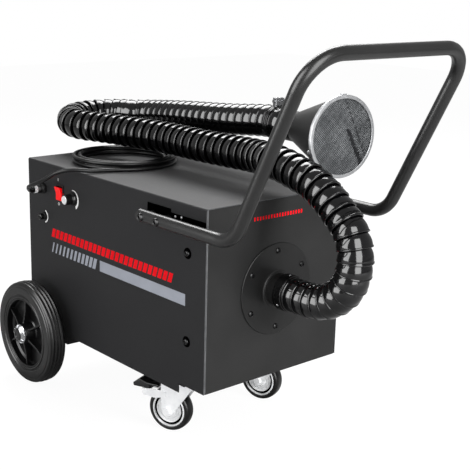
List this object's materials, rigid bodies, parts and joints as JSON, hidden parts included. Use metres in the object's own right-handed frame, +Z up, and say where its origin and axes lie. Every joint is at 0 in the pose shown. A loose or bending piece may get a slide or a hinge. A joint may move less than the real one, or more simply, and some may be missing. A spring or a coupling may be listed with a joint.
{
  "type": "mobile welding fume extractor",
  "caption": "Boxy wheeled welding fume extractor with a push handle, a ribbed suction hose ending in a cone hood, a coiled mains lead and a small control panel on one side.",
  "frame": {"origin": "on the floor, under the middle of the outline of cabinet, wheels and push handle", "axes": "+Z up, +X from the louvred end towards the inlet and push handle, -Y towards the side with the controls"},
  "size_m": [0.8896, 0.4584, 0.6958],
  "materials": {
    "powder_coat": "satin",
    "tube_coat": "satin",
    "motor_paint": "satin",
    "black_plastic": "matte",
    "gloss_plastic": "gloss",
    "red_plastic": "gloss",
    "grey_plastic": "satin",
    "tyre": "matte",
    "cord_rubber": "matte",
    "zinc": "satin",
    "bolt_steel": "satin",
    "chrome": "polished",
    "aluminium": "satin",
    "wire": "satin",
    "paper": "matte"
  },
  "bodies": {
    "chassis": {"cover": "powder_coat", "base_tray": "powder_coat", "front_panel": "powder_coat", "rear_panel": "powder_coat", "partition": "zinc", "filter": "paper", "fan_housing": "zinc", "motor": "motor_paint", "axle": "zinc", "axle_bracket_near": "powder_coat", "axle_bracket_far": "powder_coat", "hub_cap_near": "chrome", "hub_cap_far": "chrome", "castor_rail": "powder_coat", "castor_plate_near": "zinc", "castor_plate_far": "zinc", "handle_tube": "tube_coat", "handle_bolt_1": "bolt_steel", "handle_bolt_2": "bolt_steel", "handle_bolt_3": "bolt_steel", "handle_bolt_4": "bolt_steel", "handle_spacer_1": "black_plastic", "handle_spacer_2": "black_plastic", "handle_spacer_3": "black_plastic", "handle_spacer_4": "black_plastic", "handle_plug_near": "black_plastic", "handle_plug_far": "black_plastic", "inlet_flange": "powder_coat", "hose_cuff": "black_plastic", "hose": "gloss_plastic", "hose_clamp": "chrome", "hood": "powder_coat", "hood_rim": "aluminium", "hood_mesh": "wire", "rocker_bezel": "black_plastic", "speed_control": "black_plastic", "fuse_holder": "black_plastic", "cable_gland": "chrome", "cord_lead": "cord_rubber", "cord_coil": "cord_rubber", "cord_tail": "cord_rubber", "plug": "black_plastic"},
    "rear_wheel_near": {"rear_rim_near": "black_plastic", "rear_tyre_near": "tyre"},
    "rear_wheel_far": {"rear_rim_far": "black_plastic", "rear_tyre_far": "tyre"},
    "fork_near": {"castor_fork_near": "zinc"},
    "fork_far": {"castor_fork_far": "zinc"},
    "castor_wheel_near": {"castor_wheel_near": "grey_plastic", "castor_tyre_near": "tyre"},
    "castor_wheel_far": {"castor_wheel_far": "grey_plastic", "castor_tyre_far": "tyre"},
    "brake_near": {"brake_lever_near": "zinc", "brake_pedal_near": "black_plastic"},
    "brake_far": {"brake_lever_far": "zinc", "brake_pedal_far": "black_plastic"},
    "rocker": {"rocker": "red_plastic"},
    "speed_knob": {"speed_knob": "black_plastic"},
    "fuse_cap": {"fuse_cap": "black_plastic"},
    "impeller": {"impeller": "aluminium"}
  },
  "joints": [
    {"name": "rear_wheel_near_spin", "type": "hinge", "parent": "chassis", "child": "rear_wheel_near", "pos_m": [-0.3063, -0.198, 0.1], "axis": [0, 1, 0], "continuous": true},
    {"name": "rear_wheel_far_spin", "type": "hinge", "parent": "chassis", "child": "rear_wheel_far", "pos_m": [-0.3063, 0.198, 0.1], "axis": [0, 1, 0], "continuous": true},
    {"name": "castor_near_swivel", "type": "hinge", "parent": "chassis", "child": "fork_near", "pos_m": [0.0677, -0.108, 0.1], "axis": [0, 0, 1], "continuous": true},
    {"name": "castor_far_swivel", "type": "hinge", "parent": "chassis", "child": "fork_far", "pos_m": [0.0677, 0.108, 0.1], "axis": [0, 0, 1], "continuous": true},
    {"name": "castor_near_roll", "type": "hinge", "parent": "fork_near", "child": "castor_wheel_near", "pos_m": [0.03734, -0.12094, 0.04], "axis": [-0.392, 0.92, 0], "continuous": true},
    {"name": "castor_far_roll", "type": "hinge", "parent": "fork_far", "child": "castor_wheel_far", "pos_m": [0.03628, 0.0979, 0.04], "axis": [-0.306, 0.952, 0], "continuous": true},
    {"name": "brake_near_press", "type": "hinge", "parent": "fork_near", "child": "brake_near", "pos_m": [0.02998, -0.12407, 0.07], "axis": [-0.392, 0.92, 0], "range_deg": [-8, 0]},
    {"name": "brake_far_press", "type": "hinge", "parent": "fork_far", "child": "brake_far", "pos_m": [0.02867, 0.09545, 0.07], "axis": [-0.306, 0.952, 0], "range_deg": [-8, 0]},
    {"name": "rocker_tip", "type": "hinge", "parent": "chassis", "child": "rocker", "pos_m": [-0.2607, -0.1566, 0.3777], "axis": [1, 0, 0], "range_deg": [-17, 0]},
    {"name": "speed_knob_turn", "type": "hinge", "parent": "chassis", "child": "speed_knob", "pos_m": [-0.2173, -0.156, 0.3746], "axis": [0, -1, 0], "range_deg": [-135, 135]},
    {"name": "fuse_cap_turn", "type": "hinge", "parent": "chassis", "child": "fuse_cap", "pos_m": [-0.3183, -0.156, 0.3225], "axis": [0, -1, 0], "range_deg": [0, 45]},
    {"name": "impeller_spin", "type": "hinge", "parent": "chassis", "child": "impeller", "pos_m": [-0.107, 0, 0.27], "axis": [1, 0, 0], "continuous": true}
  ]
}
